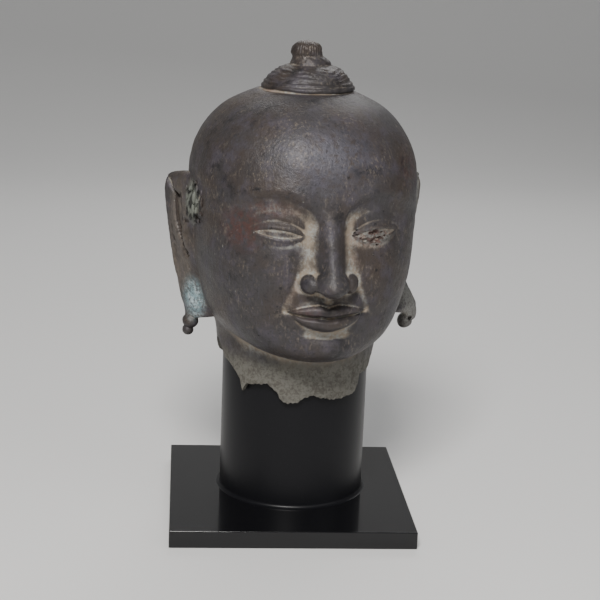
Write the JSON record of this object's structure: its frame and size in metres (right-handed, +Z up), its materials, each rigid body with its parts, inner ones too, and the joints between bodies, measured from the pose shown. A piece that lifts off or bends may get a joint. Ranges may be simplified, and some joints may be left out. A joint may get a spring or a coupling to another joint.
{
  "type": "bronze buddha head on display stand",
  "caption": "Hollow-cast bronze Buddha head with crown knob, long ears and a broken neck, carried on a round black post over a square black base plate.",
  "frame": {"origin": "middle of the base plate's underside", "axes": "+Z up along the post, -Y towards the front edge of the base plate; the head's face is turned 9 degrees from -Y towards +X"},
  "size_m": [0.1664, 0.1738, 0.2958],
  "materials": {
    "bronze": "old cast bronze, dark brown-grey patina with tan dirt in the hollows, red-brown patches and a little green",
    "satin_black": "satin black lacquer",
    "gloss_black": "gloss black lacquer"
  },
  "bodies": {
    "root": {"head": "bronze", "post": "satin_black", "base_plate": "gloss_black"}
  },
  "joints": []
}
